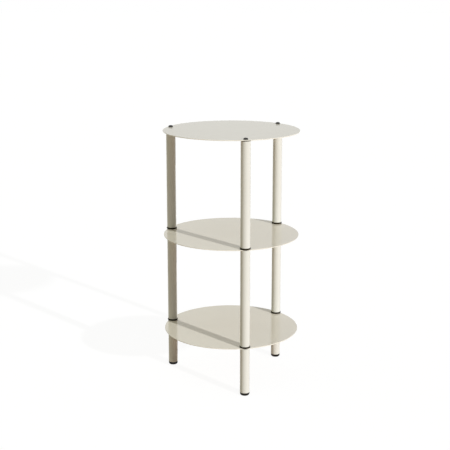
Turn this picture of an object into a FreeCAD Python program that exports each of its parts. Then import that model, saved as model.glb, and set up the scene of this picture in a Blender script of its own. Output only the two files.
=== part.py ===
"""Tiered side table: three round sheet-steel shelves clamped between tubular post sections.

Frame: +Z up, origin on the floor below the centre of the shelves, millimetres.
Every post is a stack: glide, lower leg, shelf, flanged plug, tube, shelf, flanged plug, tube,
washer, shelf and button-head screw. The stud held in each plug goes down through the shelf and
into the threaded insert of the tube below.
"""
import FreeCAD, Part
import os
import Sketcher

doc = FreeCAD.newDocument("TieredSideTable")

# ---------------------------------------------------------------- driving sizes

SIZES = [
    ("ShelfDiameter", 360, "round shelves"),
    ("ShelfThickness", 2, "sheet steel"),
    ("ShelfEdgeRound", 0.8, "rounding of the rim, above and below"),
    ("PostInset", 9.5, "shelf rim to post axis"),
    ("PostAngle", 45, "first post, degrees from +X"),
    ("PostCount", 3, "posts, evenly spaced"),
    ("TubeDiameter", 25, "outside of every tube"),
    ("TubeWall", 1.2, "steel tube"),
    ("TubeEndChamfer", 0.3, "outer edge of each cut end"),
    ("UpperTubeLength", 272, "upper plug to top washer"),
    ("MiddleTubeLength", 255, "middle plug to middle shelf"),
    ("LowerTubeLength", 120, "glide to bottom shelf"),
    ("FootHeight", 8, "glide below the tube"),
    ("FootStepIn", 0.2, "glide side inside the tube's outside"),
    ("FootRound", 4.5, "lower edge of the glide"),
    ("FootCoreDiameter", 14, "hollow in the glide's spigot"),
    ("FootSpigotLength", 14, "part of the glide inside the tube"),
    ("FlangeThickness", 4, "collar between shelf and tube"),
    ("FlangeOverhang", 1.25, "collar beyond the tube's outside"),
    ("FlangeChamfer", 0.5, "outer edges of the collar"),
    ("WasherThickness", 1, "washer between upper tube and top shelf"),
    ("WasherChamfer", 0.3, "outer edges of the washer"),
    ("PlugSpigotLength", 15, "part of the plug inside the tube"),
    ("SpigotClearance", 0.1, "barb tip to tube inside"),
    ("BarbDepth", 0.6, "barb tip to spigot body"),
    ("BarbPitch", 4, "one barb to the next"),
    ("BarbCount", 2, "barbs on each spigot"),
    ("InsertLength", 16, "threaded insert in each tube's top end"),
    ("InsertClearance", 0.1, "insert to tube inside"),
    ("InsertGrooveDepth", 0.7, "waist of the insert"),
    ("InsertGrooveWidth", 5, "waist of the insert"),
    ("InsertMouth", 0.6, "lead-in chamfer of the thread"),
    ("ShankDiameter", 6, "studs and top screws"),
    ("ShankTipChamfer", 0.8, "end of studs and top screws"),
    ("ThreadClearance", 0.05, "shank to insert bore, all round"),
    ("HoleClearance", 0.3, "shank to shelf hole, all round"),
    ("StudReach", 11, "stud inside the insert"),
    ("StudHeadFlats", 10, "hexagon across flats"),
    ("StudHeadHeight", 4, "hexagon head"),
    ("StudHeadClearance", 0.1, "hexagon to its pocket, each flat"),
    ("StudHeadCover", 1, "head below the end of the spigot"),
    ("ScrewReach", 14, "top screw inside the insert"),
    ("ScrewHeadDiameter", 12, "button head"),
    ("ScrewHeadHeight", 4.2, "button head"),
    ("ScrewHeadRound", 3.2, "dome of the button head"),
    ("SocketFlats", 4, "hexagon socket across flats"),
    ("SocketDepth", 2, "hexagon socket"),
]

sheet = doc.addObject("Spreadsheet::Sheet", "Sizes")
for row, (alias, size, note) in enumerate(SIZES, start=1):
    sheet.set(f"A{row}", alias)
    sheet.set(f"B{row}", str(size))
    sheet.set(f"C{row}", note)
    sheet.setAlias(f"B{row}", alias)
doc.recompute()


def size(expression):
    """The present number of an expression in the sheet's sizes."""
    return float(doc.Sizes.evalExpression(expression.replace("Sizes.", "")))


# ---------------------------------------------------------------- derived places, as expressions

POST_CIRCLE = "(Sizes.ShelfDiameter / 2 - Sizes.PostInset)"
TUBE_OUTSIDE = "(Sizes.TubeDiameter / 2)"
TUBE_INSIDE = f"({TUBE_OUTSIDE} - Sizes.TubeWall)"
COLLAR = f"({TUBE_OUTSIDE} + Sizes.FlangeOverhang)"
SHANK = "(Sizes.ShankDiameter / 2)"

BOTTOM_SHELF = "(Sizes.FootHeight + Sizes.LowerTubeLength)"
MIDDLE_PLUG = f"({BOTTOM_SHELF} + Sizes.ShelfThickness)"
MIDDLE_TUBE = f"({MIDDLE_PLUG} + Sizes.FlangeThickness)"
MIDDLE_SHELF = f"({MIDDLE_TUBE} + Sizes.MiddleTubeLength)"
UPPER_PLUG = f"({MIDDLE_SHELF} + Sizes.ShelfThickness)"
UPPER_TUBE = f"({UPPER_PLUG} + Sizes.FlangeThickness)"
TOP_WASHER = f"({UPPER_TUBE} + Sizes.UpperTubeLength)"
TOP_SHELF = f"({TOP_WASHER} + Sizes.WasherThickness)"
TOP_FACE = f"({TOP_SHELF} + Sizes.ShelfThickness)"


# ---------------------------------------------------------------- modelling helpers

def new_body(label):
    body = doc.addObject("PartDesign::Body", label)
    body.Label = label
    return body


def origin_plane(body, role):
    return next(plane for plane in body.Origin.OriginFeatures if plane.Role == role)


def new_sketch(body, name, role, offset="0"):
    """An empty sketch on one of the body's own origin planes, moved along its normal."""
    sketch = body.newObject("Sketcher::SketchObject", name)
    sketch.AttachmentSupport = [(origin_plane(body, role), "")]
    sketch.MapMode = "FlatFace"
    sketch.setExpression("AttachmentOffset.Base.z", offset)
    return sketch


def tie(sketch, kind, first, second, expression):
    """Tie one vertex's or centre's distance from the sketch origin to an expression."""
    if size(expression) == 0:
        axis = -2 if kind == "DistanceX" else -1
        sketch.addConstraint(Sketcher.Constraint("PointOnObject", first, second, axis))
        return
    index = sketch.addConstraint(Sketcher.Constraint(kind, -1, 1, first, second, size(expression)))
    sketch.setExpression(f"Constraints[{index}]", expression)


def add_outline(sketch, corners):
    """A closed run of straight lines whose corners are pairs of expressions."""
    places = [FreeCAD.Vector(size(x), size(y), 0) for x, y in corners]
    lines = []
    for index, start in enumerate(places):
        end = places[(index + 1) % len(places)]
        lines.append(sketch.addGeometry(Part.LineSegment(start, end), False))
    for index, line in enumerate(lines):
        following = lines[(index + 1) % len(lines)]
        sketch.addConstraint(Sketcher.Constraint("Coincident", line, 2, following, 1))
    for line, (x, y) in zip(lines, corners):
        tie(sketch, "DistanceX", line, 1, x)
        tie(sketch, "DistanceY", line, 1, y)


def add_circle(sketch, radius, x="0", y="0"):
    centre = FreeCAD.Vector(size(x), size(y), 0)
    curve = Part.Circle(centre, FreeCAD.Vector(0, 0, 1), size(radius))
    circle = sketch.addGeometry(curve, False)
    tie(sketch, "DistanceX", circle, 3, x)
    tie(sketch, "DistanceY", circle, 3, y)
    index = sketch.addConstraint(Sketcher.Constraint("Radius", circle, size(radius)))
    sketch.setExpression(f"Constraints[{index}]", radius)


def hexagon(flats):
    """The six corners of a hexagon about the origin, from its size across flats."""
    corners = []
    for corner in range(6):
        across = f"({flats} / sqrt(3))"
        x = f"{across} * cos({60 * corner})"
        y = f"{across} * sin({60 * corner})" if corner % 3 else "0"
        corners.append((x, y))
    return corners


def pad(body, name, sketch, length, downwards=False):
    feature = body.newObject("PartDesign::Pad", name)
    feature.Profile = sketch
    feature.setExpression("Length", length)
    feature.Reversed = downwards
    return feature


def pocket(body, name, sketch, depth):
    """A pocket that goes down from its sketch."""
    feature = body.newObject("PartDesign::Pocket", name)
    feature.Profile = sketch
    feature.setExpression("Length", depth)
    return feature


def revolve(body, name, corners):
    """A full turn about Z of an outline given as (radius, height) pairs."""
    sketch = new_sketch(body, f"{name}Profile", "XZ_Plane")
    add_outline(sketch, corners)
    feature = body.newObject("PartDesign::Revolution", name)
    feature.Profile = sketch
    feature.ReferenceAxis = (sketch, ["V_Axis"])
    feature.Angle = 360
    return feature


def circles_at(feature, radius, height):
    """Names of the feature's circular edges about Z with this radius at this height."""
    doc.recompute()
    names = []
    for index, edge in enumerate(feature.Shape.Edges, start=1):
        curve = edge.Curve
        if not isinstance(curve, Part.Circle):
            continue
        if abs(curve.Radius - size(radius)) < 1e-4 and abs(curve.Center.z - size(height)) < 1e-4:
            names.append(f"Edge{index}")
    return names


def soften(body, kind, name, feature, rims, amount):
    """A Fillet or Chamfer on the circles given as (radius, height) pairs."""
    edges = [edge for radius, height in rims for edge in circles_at(feature, radius, height)]
    softened = body.newObject(f"PartDesign::{kind}", name)
    softened.Base = (feature, edges)
    softened.setExpression("Radius" if kind == "Fillet" else "Size", amount)
    return softened


def place(body, x, y, z):
    body.setExpression("Placement.Base.x", x)
    body.setExpression("Placement.Base.y", y)
    body.setExpression("Placement.Base.z", z)


# ---------------------------------------------------------------- sub-parts

def shelf(label, height):
    """A flat sheet disc with a softened rim and one clearance hole on each post's axis."""
    body = new_body(label)
    radius = "Sizes.ShelfDiameter / 2"
    disc_sketch = new_sketch(body, "DiscSketch", "XY_Plane")
    add_circle(disc_sketch, radius)
    disc = pad(body, "Disc", disc_sketch, "Sizes.ShelfThickness")
    rims = [(radius, "0"), (radius, "Sizes.ShelfThickness")]
    rim_round = "min(Sizes.ShelfEdgeRound; 0.45 * Sizes.ShelfThickness)"
    soften(body, "Fillet", "RimRound", disc, rims, rim_round)
    hole_sketch = new_sketch(body, "HoleSketch", "XY_Plane", "Sizes.ShelfThickness")
    hole_x = f"{POST_CIRCLE} * cos(Sizes.PostAngle)"
    hole_y = f"{POST_CIRCLE} * sin(Sizes.PostAngle)"
    add_circle(hole_sketch, f"{SHANK} + Sizes.HoleClearance", hole_x, hole_y)
    hole = pocket(body, "PostHole", hole_sketch, "Sizes.ShelfThickness")
    holes = body.newObject("PartDesign::PolarPattern", "PostHoles")
    holes.Originals = [hole]
    holes.Axis = (hole_sketch, ["N_Axis"])
    holes.Angle = 360
    holes.setExpression("Occurrences", "Sizes.PostCount")
    body.Tip = holes
    place(body, "0", "0", height)
    return body


def tube(label, length):
    """A round tube cut square, with both outer edges broken."""
    body = new_body(label)
    ring = new_sketch(body, "RingSketch", "XY_Plane")
    add_circle(ring, TUBE_OUTSIDE)
    add_circle(ring, TUBE_INSIDE)
    wall = pad(body, "Wall", ring, length)
    ends = [(TUBE_OUTSIDE, "0"), (TUBE_OUTSIDE, length)]
    soften(body, "Chamfer", "BrokenEdges", wall, ends, "Sizes.TubeEndChamfer")
    return body


def threaded_insert(label):
    """A waisted steel plug, pressed flush into a tube's top end and bored for the shank.

    Its own origin is at its lower end.
    """
    body = new_body(label)
    outside = f"({TUBE_INSIDE} - Sizes.InsertClearance)"
    waist = f"({outside} - Sizes.InsertGrooveDepth)"
    bore = f"({SHANK} + Sizes.ThreadClearance)"
    waist_start = "(Sizes.InsertLength - Sizes.InsertGrooveWidth) / 2"
    waist_end = "(Sizes.InsertLength + Sizes.InsertGrooveWidth) / 2"
    corners = [
        (bore, "0"),
        (outside, "0"),
        (outside, waist_start),
        (waist, waist_start),
        (waist, waist_end),
        (outside, waist_end),
        (outside, "Sizes.InsertLength"),
        (bore, "Sizes.InsertLength"),
    ]
    turned = revolve(body, "Turned", corners)
    mouth = [(bore, "Sizes.InsertLength")]
    soften(body, "Chamfer", "Mouth", turned, mouth, "Sizes.InsertMouth")
    return body


def barbs(start):
    """Outline of a spigot's barbs, from its shoulder upwards: each tapers to its top."""
    tip = f"({TUBE_INSIDE} - Sizes.SpigotClearance)"
    root = f"({tip} - Sizes.BarbDepth)"
    corners = [(root, start)]
    for barb in range(int(size("Sizes.BarbCount"))):
        foot = f"{start} + {barb + 0.5} * Sizes.BarbPitch"
        crest = f"{start} + {barb + 1.5} * Sizes.BarbPitch"
        corners += [(root, foot), (tip, foot), (root, crest)]
    return corners


def without_repeats(corners):
    """The outline without a corner that falls on the one before it."""
    kept = corners[:1]
    for corner in corners[1:]:
        if corner[0] != kept[-1][0] or size(corner[1]) != size(kept[-1][1]):
            kept.append(corner)
    return kept


def spigot_root():
    return f"({TUBE_INSIDE} - Sizes.SpigotClearance - Sizes.BarbDepth)"


def flanged_plug(label):
    """A moulded end plug: collar on the shelf, barbed spigot in the tube, hexagon pocket."""
    body = new_body(label)
    bore = f"({SHANK} + Sizes.ThreadClearance)"
    end = "(Sizes.FlangeThickness + Sizes.PlugSpigotLength)"
    corners = [(bore, "0"), (COLLAR, "0"), (COLLAR, "Sizes.FlangeThickness")]
    corners += without_repeats(barbs("Sizes.FlangeThickness"))
    corners += [(spigot_root(), end), (bore, end)]
    moulded = revolve(body, "Moulded", corners)
    rims = [(COLLAR, "0"), (COLLAR, "Sizes.FlangeThickness")]
    soften(body, "Chamfer", "CollarEdges", moulded, rims, "Sizes.FlangeChamfer")
    hexagon_sketch = new_sketch(body, "PocketSketch", "XY_Plane", end)
    add_outline(hexagon_sketch, hexagon("(Sizes.StudHeadFlats + 2 * Sizes.StudHeadClearance)"))
    pocket(body, "HeadPocket", hexagon_sketch, "Sizes.StudHeadHeight + Sizes.StudHeadCover")
    return body


def washer(label):
    """A flat moulded ring, as wide as the collars."""
    body = new_body(label)
    ring = new_sketch(body, "RingSketch", "XY_Plane")
    add_circle(ring, COLLAR)
    add_circle(ring, f"{SHANK} + Sizes.HoleClearance")
    disc = pad(body, "Disc", ring, "Sizes.WasherThickness")
    rims = [(COLLAR, "0"), (COLLAR, "Sizes.WasherThickness")]
    soften(body, "Chamfer", "WasherEdges", disc, rims, "Sizes.WasherChamfer")
    return body


def stud(label):
    """A hexagon-head bolt that points down. Its own origin is under its head."""
    body = new_body(label)
    head_sketch = new_sketch(body, "HeadSketch", "XY_Plane")
    add_outline(head_sketch, hexagon("Sizes.StudHeadFlats"))
    pad(body, "Head", head_sketch, "Sizes.StudHeadHeight")
    shank_sketch = new_sketch(body, "ShankSketch", "XY_Plane")
    add_circle(shank_sketch, SHANK)
    reach = f"({stud_seat()} + Sizes.ShelfThickness + Sizes.StudReach)"
    shank = pad(body, "Shank", shank_sketch, reach, downwards=True)
    tip = [(SHANK, f"-{reach}")]
    soften(body, "Chamfer", "Tip", shank, tip, "Sizes.ShankTipChamfer")
    return body


def stud_seat():
    """Height of the pocket's floor above the plug's own origin."""
    plug_end = "Sizes.FlangeThickness + Sizes.PlugSpigotLength"
    return f"({plug_end} - Sizes.StudHeadHeight - Sizes.StudHeadCover)"


def top_screw(label):
    """A button-head socket screw. Its own origin is under its head."""
    body = new_body(label)
    head = "(Sizes.ScrewHeadDiameter / 2)"
    reach = "(Sizes.ShelfThickness + Sizes.WasherThickness + Sizes.ScrewReach)"
    corners = [
        ("0", f"-{reach}"),
        (SHANK, f"-{reach}"),
        (SHANK, "0"),
        (head, "0"),
        (head, "Sizes.ScrewHeadHeight"),
        ("0", "Sizes.ScrewHeadHeight"),
    ]
    turned = revolve(body, "Turned", corners)
    crown = [(head, "Sizes.ScrewHeadHeight")]
    domed = soften(body, "Fillet", "Dome", turned, crown, "Sizes.ScrewHeadRound")
    tip = [(SHANK, f"-{reach}")]
    soften(body, "Chamfer", "Tip", domed, tip, "Sizes.ShankTipChamfer")
    socket_sketch = new_sketch(body, "SocketSketch", "XY_Plane", "Sizes.ScrewHeadHeight")
    add_outline(socket_sketch, hexagon("Sizes.SocketFlats"))
    pocket(body, "Socket", socket_sketch, "Sizes.SocketDepth")
    return body


def foot(label):
    """A moulded glide: rounded pad under the tube and a hollow barbed spigot inside it."""
    body = new_body(label)
    side = f"({TUBE_OUTSIDE} - Sizes.FootStepIn)"
    core = "(Sizes.FootCoreDiameter / 2)"
    end = "(Sizes.FootHeight + Sizes.FootSpigotLength)"
    corners = [("0", "0"), (side, "0"), (side, "Sizes.FootHeight")]
    corners += without_repeats(barbs("Sizes.FootHeight"))
    corners += [(spigot_root(), end), (core, end), (core, "Sizes.FootHeight")]
    corners += [("0", "Sizes.FootHeight")]
    moulded = revolve(body, "Moulded", corners)
    soften(body, "Fillet", "PadRound", moulded, [(side, "0")], "Sizes.FootRound")
    return body


# ---------------------------------------------------------------- the assembly

shelf("bottom_shelf", BOTTOM_SHELF)
shelf("middle_shelf", MIDDLE_SHELF)
shelf("top_shelf", TOP_SHELF)

INSERT = "Sizes.InsertLength"
for index, side in enumerate(("right", "left", "front")):
    angle = f"(Sizes.PostAngle + {index} * 360 / Sizes.PostCount)"
    x = f"{POST_CIRCLE} * cos({angle})"
    y = f"{POST_CIRCLE} * sin({angle})"
    place(foot(f"foot_{side}"), x, y, "0")
    place(tube(f"lower_leg_{side}", "Sizes.LowerTubeLength"), x, y, "Sizes.FootHeight")
    place(threaded_insert(f"lower_insert_{side}"), x, y, f"{BOTTOM_SHELF} - {INSERT}")
    place(flanged_plug(f"middle_plug_{side}"), x, y, MIDDLE_PLUG)
    place(stud(f"middle_stud_{side}"), x, y, f"{MIDDLE_PLUG} + {stud_seat()}")
    place(tube(f"middle_tube_{side}", "Sizes.MiddleTubeLength"), x, y, MIDDLE_TUBE)
    place(threaded_insert(f"middle_insert_{side}"), x, y, f"{MIDDLE_SHELF} - {INSERT}")
    place(flanged_plug(f"upper_plug_{side}"), x, y, UPPER_PLUG)
    place(stud(f"upper_stud_{side}"), x, y, f"{UPPER_PLUG} + {stud_seat()}")
    place(tube(f"upper_tube_{side}", "Sizes.UpperTubeLength"), x, y, UPPER_TUBE)
    place(threaded_insert(f"upper_insert_{side}"), x, y, f"{TOP_WASHER} - {INSERT}")
    place(washer(f"top_washer_{side}"), x, y, TOP_WASHER)
    place(top_screw(f"top_screw_{side}"), x, y, TOP_FACE)

doc.recompute()

# ---------------------------------------------------------------- checks and export

failed = [obj.Name for obj in doc.Objects if "Invalid" in obj.State or "Error" in obj.State]
if failed:
    raise RuntimeError(f"features failed: {failed}")

bodies = [obj for obj in doc.Objects if obj.TypeId == "PartDesign::Body"]
for body in bodies:
    shape = body.Shape
    if shape.isNull() or not shape.isValid() or len(shape.Solids) != 1:
        raise RuntimeError(f"{body.Label} is not one valid solid")

os.makedirs("parts", exist_ok=True)
for body in bodies:
    body.Shape.exportStep(f"parts/{body.Label}.step")
    print(f"{body.Label:22s} {body.Shape.Volume:10.1f} mm3")
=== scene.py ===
"""Looks of the tiered side table: powder-coated shelves and posts, black moulded joints, studio."""

import math

import bpy
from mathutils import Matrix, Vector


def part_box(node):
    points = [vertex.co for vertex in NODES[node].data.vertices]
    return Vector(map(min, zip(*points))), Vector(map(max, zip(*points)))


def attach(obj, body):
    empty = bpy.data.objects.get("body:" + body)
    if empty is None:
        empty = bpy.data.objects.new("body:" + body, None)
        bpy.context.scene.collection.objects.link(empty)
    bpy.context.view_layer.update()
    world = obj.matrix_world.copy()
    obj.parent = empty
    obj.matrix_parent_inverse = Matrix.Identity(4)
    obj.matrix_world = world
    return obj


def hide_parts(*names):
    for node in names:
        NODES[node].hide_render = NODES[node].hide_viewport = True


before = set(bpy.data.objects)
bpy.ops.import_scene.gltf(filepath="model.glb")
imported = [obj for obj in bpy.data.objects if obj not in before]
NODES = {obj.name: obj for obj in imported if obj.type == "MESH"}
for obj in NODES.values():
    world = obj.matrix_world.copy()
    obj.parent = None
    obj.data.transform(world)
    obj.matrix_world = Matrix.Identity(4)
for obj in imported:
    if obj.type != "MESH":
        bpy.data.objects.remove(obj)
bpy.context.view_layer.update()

SIDES = ("right", "left", "front")

# ---------------------------------------------------------------- the finishes

# Colours are linear. Scales are in features per metre, depths in metres.
# Shelves and tubes wear one powder coat, given here as two colours: the shelves' lighter colours
# carry painted light on the tops.
SHELF_COAT_LIT_COPY = (0.858, 0.817, 0.719)
SHELF_COAT_DEEP_LIT_COPY = (0.845, 0.802, 0.703)
SHELF_ROUGHNESS = (0.10, 0.14)
# The tubes' darker colours are the same powder coat with painted shade.
TUBE_COAT_SHADED_COPY = (0.702, 0.699, 0.650)
TUBE_COAT_DEEP_SHADED_COPY = (0.688, 0.683, 0.632)
TUBE_ROUGHNESS = (0.30, 0.38)
COAT_MOTTLING = (9, 0.35, 0.65)
COAT_GLOSS_SCALE = 40
COAT_GLOSS_RANGE = (0.3, 0.7)
COAT_PEEL_SCALE = 420
COAT_PEEL_DEPTH = 0.00002
COAT_FINE_SCALE = 2600
COAT_FINE_DEPTH = 0.000003
COAT_IOR = 1.5
PLUG_BLACK = (0.0160, 0.0108, 0.0025)
PLUG_BLACK_WORN = (0.0270, 0.0200, 0.0100)
PLUG_ROUGHNESS = 0.42
PLUG_SHEEN = 0.1
GLIDE_BLACK = (0.0065, 0.0050, 0.0030)
GLIDE_BLACK_WORN = (0.016, 0.013, 0.009)
GLIDE_ROUGHNESS = 0.5
GLIDE_SHEEN = 0.2
PLASTIC_BLOOM = (120, 0.45, 0.75)
PLASTIC_GRAIN_SCALE = 3000
PLASTIC_GRAIN_DEPTH = 0.00002
PLASTIC_IOR = 1.49
BLACK_OXIDE = (0.009, 0.008, 0.007)
BLACK_OXIDE_RUBBED = (0.028, 0.025, 0.021)
BLACK_OXIDE_PATCHES = (500, 0.5, 0.8)
BLACK_OXIDE_GRAIN_SCALE = 4000
BLACK_OXIDE_ROUGHNESS = 0.36
BLACK_OXIDE_IOR = 1.5
ZINC = (0.62, 0.63, 0.64)
ZINC_DULL = (0.50, 0.51, 0.53)
ZINC_PATCHES = (300, 0.3, 0.7)
ZINC_GRAIN_SCALE = 5000
ZINC_ROUGHNESS = 0.3
STEEL_GRAIN_DEPTH = 0.00001
PATCH_DETAIL = 3
GRAIN_DETAIL = 2
FINE_DETAIL = 1


def set_sockets(node, **values):
    for name, value in values.items():
        node.inputs[name.replace("_", " ")].default_value = value


def noise(tree, place, scale, detail):
    """Cloudy noise in object space."""
    node = tree.nodes.new("ShaderNodeTexNoise")
    set_sockets(node, Scale=scale, Detail=detail)
    tree.links.new(place, node.inputs["Vector"])
    return node.outputs["Fac"]


def spread(tree, value, low, high, to_low, to_high):
    """The value's range from low to high, carried over to another range and held there."""
    node = tree.nodes.new("ShaderNodeMapRange")
    set_sockets(node, From_Min=low, From_Max=high, To_Min=to_low, To_Max=to_high)
    tree.links.new(value, node.inputs["Value"])
    return node.outputs["Result"]


def bump(tree, height, depth, under=None):
    """Relief of this depth, laid over another relief if one is given."""
    node = tree.nodes.new("ShaderNodeBump")
    set_sockets(node, Strength=1.0, Distance=depth)
    tree.links.new(height, node.inputs["Height"])
    if under is not None:
        tree.links.new(under, node.inputs["Normal"])
    return node.outputs["Normal"]


def patchy_material(name, colour, patch_colour, patches):
    """A material whose colour drifts in soft patches; gives its tree, shader and coordinates too."""
    material = bpy.data.materials.new(name)
    material.use_nodes = True
    tree = material.node_tree
    shader = tree.nodes["Principled BSDF"]
    place = tree.nodes.new("ShaderNodeTexCoord").outputs["Object"]
    patch_scale, patch_low, patch_high = patches
    share = spread(tree, noise(tree, place, patch_scale, PATCH_DETAIL), patch_low, patch_high, 0, 1)
    blend = tree.nodes.new("ShaderNodeMix")
    blend.data_type = "RGBA"
    blend.inputs["A"].default_value = (*colour, 1)
    blend.inputs["B"].default_value = (*patch_colour, 1)
    tree.links.new(share, blend.inputs["Factor"])
    tree.links.new(blend.outputs["Result"], shader.inputs["Base Color"])
    return material, tree, shader, place


def add_grain(tree, shader, place, scale, depth):
    grain = bump(tree, noise(tree, place, scale, GRAIN_DETAIL), depth)
    tree.links.new(grain, shader.inputs["Normal"])


def powder_coat(name, colour, deep_colour, roughness):
    """Semi-gloss powder coat: orange peel, a little mottling and uneven gloss."""
    material, tree, shader, place = patchy_material(name, colour, deep_colour, COAT_MOTTLING)
    gloss = noise(tree, place, COAT_GLOSS_SCALE, GRAIN_DETAIL)
    uneven = spread(tree, gloss, *COAT_GLOSS_RANGE, *roughness)
    tree.links.new(uneven, shader.inputs["Roughness"])
    peel = bump(tree, noise(tree, place, COAT_PEEL_SCALE, GRAIN_DETAIL), COAT_PEEL_DEPTH)
    fine_noise = noise(tree, place, COAT_FINE_SCALE, FINE_DETAIL)
    fine = bump(tree, fine_noise, COAT_FINE_DEPTH, under=peel)
    tree.links.new(fine, shader.inputs["Normal"])
    set_sockets(shader, IOR=COAT_IOR)
    return material


def moulded_plastic(name, colour, worn_colour, roughness, sheen):
    """Moulded plastic with a fine eroded grain and a lighter bloom here and there."""
    material, tree, shader, place = patchy_material(name, colour, worn_colour, PLASTIC_BLOOM)
    add_grain(tree, shader, place, PLASTIC_GRAIN_SCALE, PLASTIC_GRAIN_DEPTH)
    set_sockets(shader, Roughness=roughness, IOR=PLASTIC_IOR, Specular_IOR_Level=sheen)
    return material


def black_oxide_steel():
    """Blackened steel, rubbed a little brighter in patches."""
    material, tree, shader, place = patchy_material(
        "black_oxide_steel", BLACK_OXIDE, BLACK_OXIDE_RUBBED, BLACK_OXIDE_PATCHES
    )
    add_grain(tree, shader, place, BLACK_OXIDE_GRAIN_SCALE, STEEL_GRAIN_DEPTH)
    set_sockets(shader, Roughness=BLACK_OXIDE_ROUGHNESS, IOR=BLACK_OXIDE_IOR)
    return material


def zinc_steel():
    """Bright zinc plating with a fine lathe grain."""
    material, tree, shader, place = patchy_material("zinc_steel", ZINC, ZINC_DULL, ZINC_PATCHES)
    add_grain(tree, shader, place, ZINC_GRAIN_SCALE, STEEL_GRAIN_DEPTH)
    set_sockets(shader, Roughness=ZINC_ROUGHNESS, Metallic=1.0)
    return material


def finish_nodes(material, names):
    for name in names:
        NODES[name].data.materials.clear()
        NODES[name].data.materials.append(material)


# The shelves get the lit copy of the one coat and the tubes the shaded copy: painted light and
# painted shade.
shelf_coat_lit_copy = powder_coat("shelf_powder_coat_lit_copy", SHELF_COAT_LIT_COPY, SHELF_COAT_DEEP_LIT_COPY, SHELF_ROUGHNESS)
tube_coat_shaded_copy = powder_coat("tube_powder_coat_shaded_copy", TUBE_COAT_SHADED_COPY, TUBE_COAT_DEEP_SHADED_COPY, TUBE_ROUGHNESS)
plug_plastic = moulded_plastic(
    "plug_plastic", PLUG_BLACK, PLUG_BLACK_WORN, PLUG_ROUGHNESS, PLUG_SHEEN
)
glide_plastic = moulded_plastic(
    "glide_plastic", GLIDE_BLACK, GLIDE_BLACK_WORN, GLIDE_ROUGHNESS, GLIDE_SHEEN
)
screw_steel = black_oxide_steel()
hardware_steel = zinc_steel()

finish_nodes(shelf_coat_lit_copy, ["bottom_shelf", "middle_shelf", "top_shelf"])
for side in SIDES:
    tubes = [f"{part}_{side}" for part in ("lower_leg", "middle_tube", "upper_tube")]
    plugs = [f"{part}_{side}" for part in ("middle_plug", "upper_plug", "top_washer")]
    inserts = [f"{part}_{side}" for part in ("lower_insert", "middle_insert", "upper_insert")]
    studs = [f"{part}_{side}" for part in ("middle_stud", "upper_stud")]
    finish_nodes(tube_coat_shaded_copy, tubes)
    finish_nodes(plug_plastic, plugs)
    finish_nodes(glide_plastic, [f"foot_{side}"])
    finish_nodes(screw_steel, [f"top_screw_{side}"])
    finish_nodes(hardware_steel, inserts + studs)

# ---------------------------------------------------------------- fastener and glide sizes, in metres

MM = 0.001
SEAM = 0.002 * MM
CUT_SEAM = SEAM / 4
THREAD_PITCH = 1.0 * MM
THREAD_CREST = 3.0 * MM
THREAD_ROOT = 2.4 * MM
THREAD_STEPS = 24
# Where the thread's flanks and crest lie within one pitch, and how far below 0 its sweep begins.
THREAD_RISE_STARTS = 0.25 * THREAD_PITCH
THREAD_CREST_STARTS = 0.5625 * THREAD_PITCH
THREAD_CREST_ENDS = 0.6875 * THREAD_PITCH
THREAD_RUN_IN = 1.37 * THREAD_PITCH
# How much further the sweep, and then the cuts, reach than the thread that is kept.
SPARE_TURNS = 2
THREAD_SPARE = 0.2 * MM
TIP_CHAMFER = 0.8 * MM
SHANK_IN_HEAD = 1.0 * MM
ROUND_STEPS = 64
DOME_STEPS = 8
PAD_STEPS = 10
HEXAGON_SIDES = 6
HEXAGON_TURN = math.radians(30)
# A cutter is turned a little, so that its edges fall on none of the piece's own.
CUTTER_TURN = math.radians(1.7)
# Where one solid trims another, one of the two reaches this far past the face that is left.
OVERRUN = 1.0 * MM
SMOOTH_BELOW = math.radians(30)
STUD_SHANK = 27.0 * MM
STUD_FLATS = 10.0 * MM
STUD_HEAD = 4.0 * MM
STUD_CROWN = 4.75 * MM
STUD_CROWN_SLOPE = math.radians(30)
SCREW_SHANK = 17.0 * MM
SCREW_HEAD_RADIUS = 6.0 * MM
SCREW_HEAD = 4.2 * MM
SCREW_DOME = 3.2 * MM
SOCKET_FLATS = 4.0 * MM
SOCKET_DEPTH = 2.0 * MM
SOCKET_MOUTH = 2.5 * MM
GLIDE_RADIUS = 12.3 * MM
GLIDE_ROUND = 4.5 * MM
GLIDE_HEIGHT = 8.0 * MM
GLIDE_TOP_EDGE = 0.3 * MM
SPIGOT_TIP = 11.2 * MM
SPIGOT_ROOT = 10.6 * MM
SPIGOT_CORE = 7.0 * MM
SPIGOT_END = 22.0 * MM
BARB_FEET = (10.0 * MM, 14.0 * MM)
BARB_LENGTH = 4.0 * MM
SLOT_WIDTH = 2.5 * MM
SLOT_BLADE = (4 * SPIGOT_TIP, SLOT_WIDTH)
SLOT_START = 11.0 * MM
DIMPLE_RADIUS = 3.4 * MM
DIMPLE_DEPTH = 0.6 * MM
GATE_RADIUS = 0.9 * MM
GATE_DEPTH = 0.3 * MM

# ---------------------------------------------------------------- modelling helpers


def take(piece):
    """Make this the one selected and active object."""
    bpy.ops.object.select_all(action="DESELECT")
    piece.select_set(True)
    bpy.context.view_layer.objects.active = piece


def apply_modifier(piece, modifier):
    """Apply it, then close seams, drop slivers and turn all faces outwards."""
    take(piece)
    bpy.ops.object.modifier_apply(modifier=modifier.name)
    bpy.ops.object.mode_set(mode="EDIT")
    bpy.ops.mesh.select_all(action="SELECT")
    bpy.ops.mesh.remove_doubles(threshold=SEAM)
    bpy.ops.mesh.dissolve_degenerate(threshold=SEAM)
    bpy.ops.mesh.normals_make_consistent(inside=False)
    bpy.ops.object.mode_set(mode="OBJECT")


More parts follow.
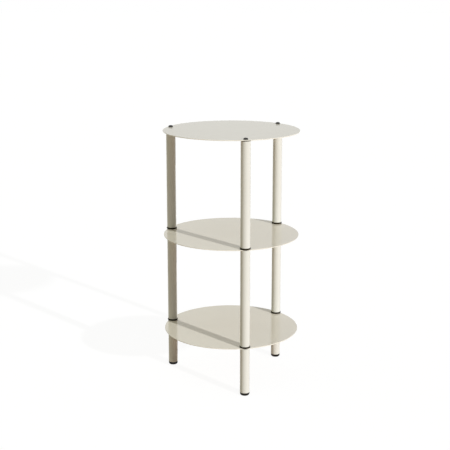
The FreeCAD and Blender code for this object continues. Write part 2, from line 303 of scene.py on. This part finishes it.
def line(name, points):
    """An open line through (radius, height) points, ready to be swept about Z."""
    bpy.ops.object.select_all(action="DESELECT")
    bpy.ops.mesh.primitive_plane_add(size=MM)
    piece = bpy.context.object
    piece.name = name
    bpy.ops.object.mode_set(mode="EDIT")
    bpy.ops.mesh.select_all(action="SELECT")
    # The small square is merged to one point, and the line is drawn out from there.
    bpy.ops.mesh.merge(type="CENTER")
    last_radius, last_height = points[0]
    bpy.ops.transform.translate(value=(last_radius, 0, last_height))
    for radius, height in points[1:]:
        step = (radius - last_radius, 0, height - last_height)
        bpy.ops.mesh.extrude_region_move(TRANSFORM_OT_translate={"value": step})
        last_radius, last_height = radius, height
    bpy.ops.object.mode_set(mode="OBJECT")
    return piece


def sweep(piece, steps, rise=0.0, turns=1):
    """Sweep the piece's line about Z, rising each turn if it is a thread."""
    modifier = piece.modifiers.new("sweep", "SCREW")
    modifier.steps = steps
    modifier.render_steps = steps
    modifier.screw_offset = rise
    modifier.iterations = turns
    apply_modifier(piece, modifier)


def cut_level(piece, height, direction):
    """Cut the piece level, take away what lies above (1) or below (-1), and close the cut."""
    take(piece)
    bpy.ops.object.mode_set(mode="EDIT")
    bpy.ops.mesh.select_all(action="SELECT")
    bpy.ops.mesh.bisect(
        plane_co=(0, 0, height),
        plane_no=(0, 0, direction),
        use_fill=True,
        clear_outer=True,
        threshold=CUT_SEAM,
    )
    bpy.ops.mesh.select_all(action="SELECT")
    bpy.ops.mesh.normals_make_consistent(inside=False)
    bpy.ops.object.mode_set(mode="OBJECT")


def combine(piece, other, operation):
    """Join the other piece on, cut it away, or keep what both share; the other is used up."""
    modifier = piece.modifiers.new("combine", "BOOLEAN")
    modifier.operation = operation
    modifier.solver = "EXACT"
    modifier.object = other
    apply_modifier(piece, modifier)
    bpy.data.objects.remove(other)


def hexagon_bar(name, flats, low, high):
    """A six-sided bar about Z with corners on X, from one height to another."""
    bpy.ops.object.select_all(action="DESELECT")
    bpy.ops.mesh.primitive_cylinder_add(
        vertices=HEXAGON_SIDES,
        radius=flats / math.sqrt(3),
        depth=high - low,
        location=(0, 0, (low + high) / 2),
        rotation=(0, 0, HEXAGON_TURN),
    )
    bar = bpy.context.object
    bar.name = name
    bpy.ops.object.transform_apply(location=True, rotation=True, scale=True)
    return bar


def box_bar(name, size, low, high, turn):
    """An upright blade of a bar through Z, from one height to another."""
    bpy.ops.object.select_all(action="DESELECT")
    bpy.ops.mesh.primitive_cube_add(
        size=1, location=(0, 0, (low + high) / 2), rotation=(0, 0, turn), scale=(*size, high - low)
    )
    bar = bpy.context.object
    bar.name = name
    bpy.ops.object.transform_apply(location=True, rotation=True, scale=True)
    return bar


def turned_cutter(name, points):
    """A solid swept about Z from (radius, height) points, to cut or trim another piece with."""
    cutter = line(name, points)
    sweep(cutter, ROUND_STEPS)
    cutter.rotation_euler.z = CUTTER_TURN
    take(cutter)
    bpy.ops.object.transform_apply(location=False, rotation=True, scale=False)
    return cutter


def arc(centre, radius, start, end, steps):
    """Points of a circular arc of a profile, with angles in degrees."""
    points = []
    for step in range(steps + 1):
        angle = math.radians(start + (end - start) * step / steps)
        across = centre[0] + radius * math.cos(angle)
        up = centre[1] + radius * math.sin(angle)
        points.append((across, up))
    return points


# ---------------------------------------------------------------- threaded studs and screws


def threaded_shank(length, in_head):
    """A metric thread with a chamfered tip at height 0, whose last stretch is sunk in the head."""
    end = length + in_head
    profile = [
        (THREAD_ROOT, -THREAD_RUN_IN),
        (THREAD_ROOT, THREAD_RISE_STARTS - THREAD_RUN_IN),
        (THREAD_CREST, THREAD_CREST_STARTS - THREAD_RUN_IN),
        (THREAD_CREST, THREAD_CREST_ENDS - THREAD_RUN_IN),
        (THREAD_ROOT, THREAD_PITCH - THREAD_RUN_IN),
    ]
    shank = line("shank", profile)
    turns = math.ceil(end / THREAD_PITCH) + SPARE_TURNS
    sweep(shank, THREAD_STEPS, rise=THREAD_PITCH, turns=turns)
    cut_level(shank, -THREAD_SPARE, -1)
    cut_level(shank, end + THREAD_SPARE, 1)
    trim = [
        (0, 0),
        (THREAD_CREST - TIP_CHAMFER, 0),
        (THREAD_CREST + THREAD_SPARE, TIP_CHAMFER + THREAD_SPARE),
        (THREAD_CREST + THREAD_SPARE, end),
        (0, end),
    ]
    combine(shank, turned_cutter("trim", trim), "INTERSECT")
    return shank


def threaded_stud():
    """A hexagon-head bolt with its tip at height 0; the head's crown is turned to a cone."""
    top = STUD_SHANK + STUD_HEAD
    head = hexagon_bar("stud", STUD_FLATS, STUD_SHANK, top + OVERRUN)
    # A radius this large is clear of the hexagon's corners.
    wide = STUD_FLATS
    shoulder = top - (wide - STUD_CROWN) * math.tan(STUD_CROWN_SLOPE)
    profile = [
        (0, STUD_SHANK - OVERRUN),
        (wide, STUD_SHANK - OVERRUN),
        (wide, shoulder),
        (STUD_CROWN, top),
        (0, top),
    ]
    combine(head, turned_cutter("crown", profile), "INTERSECT")
    combine(head, threaded_shank(STUD_SHANK, SHANK_IN_HEAD), "UNION")
    return head


def socket_screw():
    """A button-head screw with its tip at height 0 and a chamfered hexagon socket."""
    top = SCREW_SHANK + SCREW_HEAD
    dome_centre = (SCREW_HEAD_RADIUS - SCREW_DOME, top - SCREW_DOME)
    profile = [(0, SCREW_SHANK), (SCREW_HEAD_RADIUS, SCREW_SHANK)]
    profile += arc(dome_centre, SCREW_DOME, 0, 90, DOME_STEPS)
    profile += [(0, top)]
    screw = line("screw", profile)
    sweep(screw, ROUND_STEPS)
    combine(screw, threaded_shank(SCREW_SHANK, SHANK_IN_HEAD), "UNION")
    floor_height = top - SOCKET_DEPTH
    above = top + OVERRUN
    combine(screw, hexagon_bar("socket", SOCKET_FLATS, floor_height, above), "DIFFERENCE")
    mouth = [(0, top - SOCKET_MOUTH), (SOCKET_MOUTH + OVERRUN, above), (0, above)]
    combine(screw, turned_cutter("mouth", mouth), "DIFFERENCE")
    return screw


# ---------------------------------------------------------------- glides


def glide():
    """A moulded glide: dimpled pad with a gate mark, and a slotted, barbed, hollow spigot."""
    profile = [
        (0, GATE_DEPTH),
        (GATE_RADIUS, GATE_DEPTH),
        (GATE_RADIUS, DIMPLE_DEPTH),
        (DIMPLE_RADIUS - DIMPLE_DEPTH, DIMPLE_DEPTH),
        (DIMPLE_RADIUS, 0),
    ]
    pad_centre = (GLIDE_RADIUS - GLIDE_ROUND, GLIDE_ROUND)
    profile += arc(pad_centre, GLIDE_ROUND, -90, 0, PAD_STEPS)
    profile += [
        (GLIDE_RADIUS, GLIDE_HEIGHT - GLIDE_TOP_EDGE),
        (GLIDE_RADIUS - GLIDE_TOP_EDGE, GLIDE_HEIGHT),
        (SPIGOT_ROOT, GLIDE_HEIGHT),
    ]
    for foot in BARB_FEET:
        profile += [(SPIGOT_ROOT, foot), (SPIGOT_TIP, foot), (SPIGOT_ROOT, foot + BARB_LENGTH)]
    profile += [
        (SPIGOT_ROOT, SPIGOT_END),
        (SPIGOT_CORE, SPIGOT_END),
        (SPIGOT_CORE, GLIDE_HEIGHT),
        (0, GLIDE_HEIGHT),
    ]
    pad = line("pad", profile)
    sweep(pad, ROUND_STEPS)
    for turn in (0, math.pi / 2):
        blade = box_bar("slot", SLOT_BLADE, SLOT_START, SPIGOT_END + OVERRUN, turn)
        combine(pad, blade, "DIFFERENCE")
    return pad


def stand_in(master, name, node, material):
    """A copy of the finished piece, placed where the CAD node stands, and shown instead of it."""
    low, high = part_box(node)
    piece = bpy.data.objects.new(name, master.data.copy())
    bpy.context.scene.collection.objects.link(piece)
    piece.location = ((low.x + high.x) / 2, (low.y + high.y) / 2, low.z)
    take(piece)
    bpy.ops.object.transform_apply(location=True, rotation=False, scale=False)
    piece.data.materials.clear()
    piece.data.materials.append(material)
    bpy.ops.object.shade_smooth_by_angle(angle=SMOOTH_BELOW)
    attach(piece, "root")
    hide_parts(node)


stud_master = threaded_stud()
screw_master = socket_screw()
glide_master = glide()
for side in SIDES:
    for level in ("middle", "upper"):
        stand_in(
            stud_master,
            f"threaded_stud_{level}_{side}",
            f"{level}_stud_{side}",
            hardware_steel,
        )
    stand_in(screw_master, f"socket_screw_{side}", f"top_screw_{side}", screw_steel)
    stand_in(glide_master, f"moulded_glide_{side}", f"foot_{side}", glide_plastic)
for master in (stud_master, screw_master, glide_master):
    bpy.data.objects.remove(master)

# ---------------------------------------------------------------- the camera

PICTURE_SIDE = 450
FOCAL_PIXELS = 1024.8
AXIS_ABOVE_CENTRE = 25.0
CAMERA_DISTANCE = 2.6647
CAMERA_HEIGHT = 1.0581
CAMERA_BEARING = math.radians(2.975)
CAMERA_TURN = math.radians(3.334)
CAMERA_PITCH = math.radians(12.213)
SENSOR_WIDTH = 36
NEAR_CLIP = 0.1
FAR_CLIP = 60


def add_camera():
    data = bpy.data.cameras.new("camera")
    camera = bpy.data.objects.new("camera", data)
    bpy.context.scene.collection.objects.link(camera)
    data.sensor_width = SENSOR_WIDTH
    data.lens = FOCAL_PIXELS * SENSOR_WIDTH / PICTURE_SIDE
    data.shift_y = -AXIS_ABOVE_CENTRE / PICTURE_SIDE
    data.clip_start = NEAR_CLIP
    data.clip_end = FAR_CLIP
    across = CAMERA_DISTANCE * math.sin(CAMERA_BEARING)
    back = -CAMERA_DISTANCE * math.cos(CAMERA_BEARING)
    camera.location = (across, back, CAMERA_HEIGHT)
    camera.rotation_euler = (math.pi / 2 - CAMERA_PITCH, 0, CAMERA_TURN)
    bpy.context.scene.camera = camera


add_camera()

# ---------------------------------------------------------------- lights, background and floor

KEY_BEARING = math.radians(-43.8)
KEY_ELEVATION = math.radians(18)
KEY_STRENGTH = 3.3
KEY_ANGLE = math.radians(1.2)
# Sky and backdrop change with the height of a direction: 0 is level, 1 is straight up.
SKY_STARTS = 0.3
SKY_STRENGTH = 0.518
WHITE = (1, 1, 1)
FILL_COLOUR = (0.93, 1.0, 0.58)
FILL_STRENGTH = 0.39
BACKDROP_LOW = 0.77
BACKDROP_DIP = 0.14
BACKDROP_HIGH = 1.05
BACKDROP_TOP = 0.32
FLOOR_BOUNCE = (0.624, 0.482, 0.366)
FLOOR_SEEN = (0.12, 0.12, 0.12)
FLOOR_GLOW = 0.922
FLOOR_SIDE = 60


def add_key():
    """A low crisp sun. It makes no glare in the gloss, so the shelves keep their colour all round."""
    data = bpy.data.lights.new("key", "SUN")
    data.energy = KEY_STRENGTH
    data.angle = KEY_ANGLE
    key = bpy.data.objects.new("key", data)
    bpy.context.scene.collection.objects.link(key)
    key.rotation_euler = (math.pi / 2 - KEY_ELEVATION, 0, KEY_BEARING + math.pi / 2)
    key.visible_glossy = False


def calculate(tree, operation, first, second):
    node = tree.nodes.new("ShaderNodeMath")
    node.operation = operation
    tree.links.new(first, node.inputs[0])
    tree.links.new(second, node.inputs[1])
    return node.outputs["Value"]


def seen_directly(tree):
    """1 for rays from the camera, in a mirror or through glass, and 0 for light on surfaces."""
    ray = tree.nodes.new("ShaderNodeLightPath").outputs
    either = calculate(tree, "MAXIMUM", ray["Is Camera Ray"], ray["Is Glossy Ray"])
    return calculate(tree, "MAXIMUM", either, ray["Is Transmission Ray"])


def background(tree, colour, strength):
    node = tree.nodes.new("ShaderNodeBackground")
    set_sockets(node, Color=(*colour, 1))
    tree.links.new(strength, node.inputs["Strength"])
    return node.outputs["Background"]


def add_shaders(tree, first, second):
    node = tree.nodes.new("ShaderNodeAddShader")
    tree.links.new(first, node.inputs[0])
    tree.links.new(second, node.inputs[1])
    return node.outputs["Shader"]


def choose_shader(tree, choice, first, second):
    node = tree.nodes.new("ShaderNodeMixShader")
    tree.links.new(choice, node.inputs["Fac"])
    tree.links.new(first, node.inputs[1])
    tree.links.new(second, node.inputs[2])
    return node.outputs["Shader"]


def add_world():
    """Light from overhead and a weak fill from the left; a white backdrop with a soft grey band."""
    world = bpy.data.worlds.new("studio")
    bpy.context.scene.world = world
    world.use_nodes = True
    tree = world.node_tree
    tree.nodes.clear()
    direction = tree.nodes.new("ShaderNodeTexCoord").outputs["Generated"]
    split = tree.nodes.new("ShaderNodeSeparateXYZ")
    tree.links.new(direction, split.inputs["Vector"])
    sideways = split.outputs["X"]
    height = split.outputs["Z"]
    overhead = spread(tree, height, SKY_STARTS, 1, 0, SKY_STRENGTH)
    from_left = spread(tree, sideways, -1, 0, FILL_STRENGTH, 0)
    falling = spread(tree, height, 0, BACKDROP_DIP, 1, BACKDROP_LOW)
    rising = spread(tree, height, BACKDROP_DIP, BACKDROP_TOP, 0, BACKDROP_HIGH - BACKDROP_LOW)
    overhead_light = background(tree, WHITE, overhead)
    light = add_shaders(tree, overhead_light, background(tree, FILL_COLOUR, from_left))
    backdrop = background(tree, WHITE, calculate(tree, "ADD", falling, rising))
    output = tree.nodes.new("ShaderNodeOutputWorld")
    surface = choose_shader(tree, seen_directly(tree), light, backdrop)
    tree.links.new(surface, output.inputs["Surface"])


def floor_material():
    """Warm floor for the light on the table; pale and glowing where seen, so it keeps a shadow."""
    material = bpy.data.materials.new("floor")
    material.use_nodes = True
    tree = material.node_tree
    shader = tree.nodes["Principled BSDF"]
    set_sockets(shader, Base_Color=(*FLOOR_BOUNCE, 1), Roughness=1.0, Specular_IOR_Level=0.0)
    pale = tree.nodes.new("ShaderNodeBsdfDiffuse")
    set_sockets(pale, Color=(*FLOOR_SEEN, 1))
    glow = tree.nodes.new("ShaderNodeEmission")
    set_sockets(glow, Color=(*WHITE, 1), Strength=FLOOR_GLOW)
    glowing = add_shaders(tree, pale.outputs["BSDF"], glow.outputs["Emission"])
    surface = choose_shader(tree, seen_directly(tree), shader.outputs["BSDF"], glowing)
    tree.links.new(surface, tree.nodes["Material Output"].inputs["Surface"])
    material.cycles.emission_sampling = "NONE"
    return material


def add_floor():
    bpy.ops.object.select_all(action="DESELECT")
    bpy.ops.mesh.primitive_plane_add(size=FLOOR_SIDE)
    floor = bpy.context.object
    floor.name = "floor"
    floor.data.materials.append(floor_material())


add_key()
add_world()
add_floor()

bpy.context.scene.view_settings.view_transform = "Standard"
